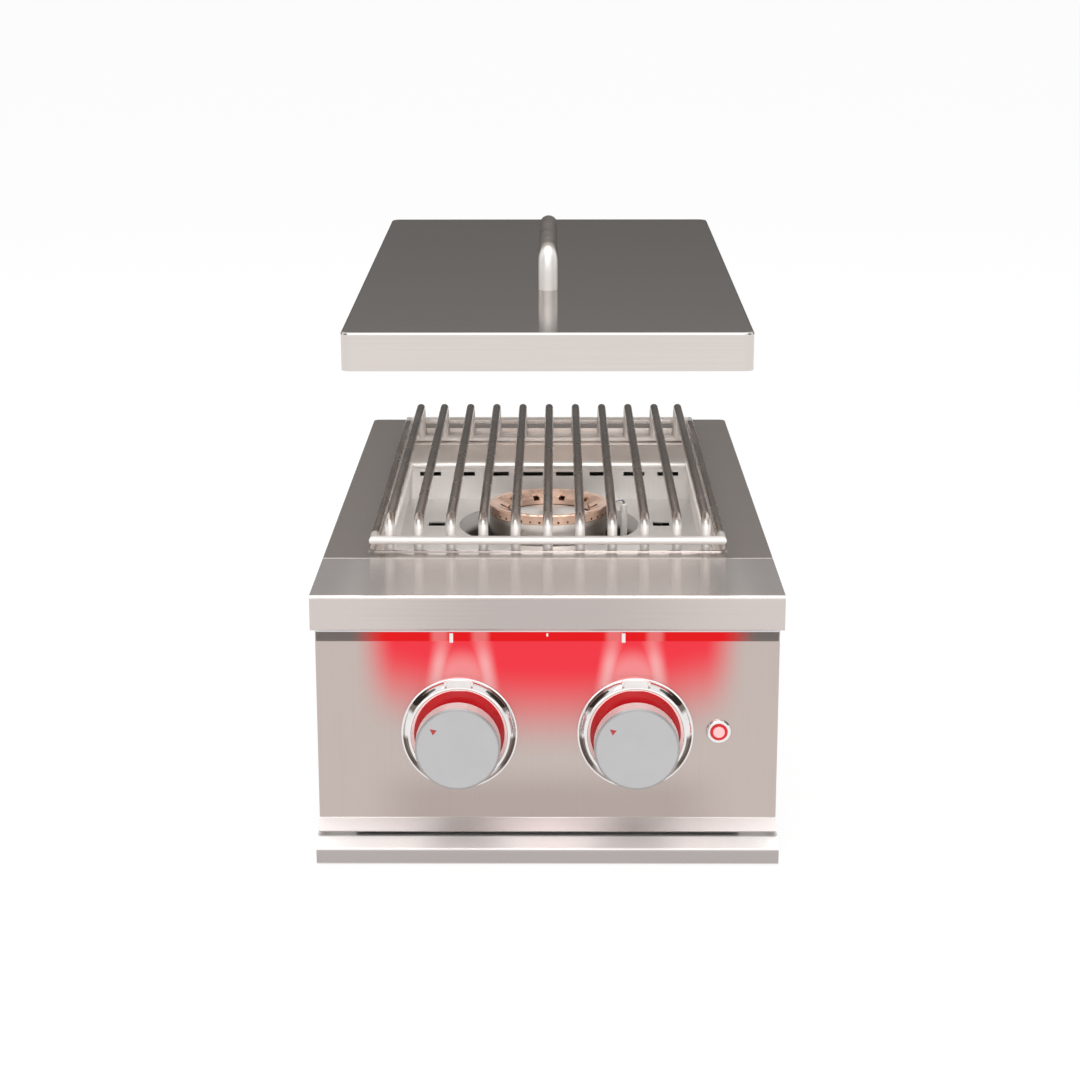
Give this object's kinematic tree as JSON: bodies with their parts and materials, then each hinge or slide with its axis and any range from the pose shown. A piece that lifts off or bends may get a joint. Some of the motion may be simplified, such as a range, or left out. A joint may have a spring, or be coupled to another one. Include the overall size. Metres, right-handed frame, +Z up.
{
  "type": "built in side burner",
  "caption": "Drop-in stainless double side burner: stepped deck, rod grate, brass flame rings, lift-off lid, lit turning knobs, light bar and pull-out drip tray.",
  "frame": {"origin": "middle of the overall box, on the underside of the shell", "axes": "+Z up, +Y from the knobs to the back, +X to the right seen from the front"},
  "size_m": [0.359, 0.679, 0.455],
  "materials": {
    "deck_steel": "brushed along X, satin",
    "lid_steel": "brushed along X, satin",
    "panel_steel": "brushed along X, satin",
    "shell_steel": "plain mill finish",
    "liner_steel": "smooth, slightly heat-toned",
    "polished_steel": "polished",
    "rod_steel": "polished round bar",
    "chrome": "mirror bright",
    "knob_satin": "satin",
    "ring_brass": "cast and machined",
    "valve_brass": "machined",
    "tube_aluminium": "drawn tube",
    "pipe_steel": "zinc passivated",
    "spring_steel": "spring wire",
    "ceramic": "matt white",
    "red_lens": "lit clear acrylic, red",
    "mark_red": "inlaid red",
    "button_lens": "lit clear cap",
    "window_lens": "pale light window",
    "module_black": "moulded",
    "screw_steel": "bright zinc",
    "tray_steel": "satin"
  },
  "bodies": {
    "root": {"deck_frame": "deck_steel", "front_cover": "deck_steel", "control_panel": "panel_steel", "outer_shell": "shell_steel", "firebox_liner": "liner_steel", "igniter_posts": "ceramic", "igniter_tips": "spring_steel", "manifold_pipe": "pipe_steel", "gas_inlet_fitting": "valve_brass", "bezel_windows": "window_lens", "light_channel": "tube_aluminium", "light_bar": "red_lens", "button_ring": "chrome", "button_spring": "spring_steel", "spark_module": "module_black", "light_supply_inlet": "module_black", "valve_screws": "screw_steel", "burner_screws": "screw_steel", "runner_screws": "screw_steel", "left_bezel": "chrome", "left_glow_ring": "red_lens", "left_valve_bonnet": "screw_steel", "left_valve_body": "valve_brass", "left_valve_spring": "spring_steel", "left_tray_runner": "shell_steel", "right_bezel": "chrome", "right_glow_ring": "red_lens", "right_valve_bonnet": "screw_steel", "right_valve_body": "valve_brass", "right_valve_spring": "spring_steel", "right_tray_runner": "shell_steel", "front_burner_base": "polished_steel", "front_burner_baffle": "liner_steel", "front_gas_tube": "tube_aluminium", "front_orifice_fitting": "valve_brass", "rear_burner_base": "polished_steel", "rear_burner_baffle": "liner_steel", "rear_gas_tube": "tube_aluminium", "rear_orifice_fitting": "valve_brass"},
    "grate": {"grate_rods": "rod_steel", "grate_ring": "rod_steel", "grate_feet": "rod_steel"},
    "lid": {"lid_panel": "lid_steel", "lid_handle": "polished_steel", "lid_screws": "screw_steel"},
    "drip_tray": {"tray_pan": "tray_steel", "tray_front": "tray_steel"},
    "front_flame_ring": {"front_burner_ring": "ring_brass"},
    "rear_flame_ring": {"rear_burner_ring": "ring_brass"},
    "light_button": {"button_cap": "button_lens"},
    "left_push": {"left_spring_seat": "screw_steel"},
    "left_knob": {"left_knob_body": "knob_satin", "left_knob_face": "knob_satin", "left_knob_mark": "mark_red", "left_valve_stem": "screw_steel"},
    "right_push": {"right_spring_seat": "screw_steel"},
    "right_knob": {"right_knob_body": "knob_satin", "right_knob_face": "knob_satin", "right_knob_mark": "mark_red", "right_valve_stem": "screw_steel"}
  },
  "joints": [
    {"name": "grate_lift", "type": "slide", "parent": "root", "child": "grate", "axis": [0, 0, 1], "range_m": [0, 0.08]},
    {"name": "lid_lift", "type": "slide", "parent": "grate", "child": "lid", "axis": [0, 0, 1], "range_m": [-0.1597, 0]},
    {"name": "drip_tray_slide", "type": "slide", "parent": "root", "child": "drip_tray", "axis": [0, -1, 0], "range_m": [0, 0.4]},
    {"name": "front_ring_lift", "type": "slide", "parent": "root", "child": "front_flame_ring", "axis": [0, 0, 1], "range_m": [0, 0.018]},
    {"name": "rear_ring_lift", "type": "slide", "parent": "root", "child": "rear_flame_ring", "axis": [0, 0, 1], "range_m": [0, 0.018]},
    {"name": "light_button_push", "type": "slide", "parent": "root", "child": "light_button", "axis": [0, 1, 0], "range_m": [0, 0.0015], "stiffness_N_per_m": 200, "springref_m": -0.004, "deforming": ["button_spring"]},
    {"name": "left_knob_push", "type": "slide", "parent": "root", "child": "left_push", "axis": [0, 1, 0], "range_m": [0, 0.003], "stiffness_N_per_m": 900, "springref_m": -0.005, "deforming": ["left_valve_spring"]},
    {"name": "left_knob_turn", "type": "hinge", "parent": "left_push", "child": "left_knob", "pos_m": [-0.068, -0.2985, 0.1025], "axis": [0, -1, 0], "range_deg": [0, 225]},
    {"name": "right_knob_push", "type": "slide", "parent": "root", "child": "right_push", "axis": [0, 1, 0], "range_m": [0, 0.003], "stiffness_N_per_m": 900, "springref_m": -0.005, "deforming": ["right_valve_spring"]},
    {"name": "right_knob_turn", "type": "hinge", "parent": "right_push", "child": "right_knob", "pos_m": [0.068, -0.2985, 0.1025], "axis": [0, -1, 0], "range_deg": [0, 225]}
  ]
}
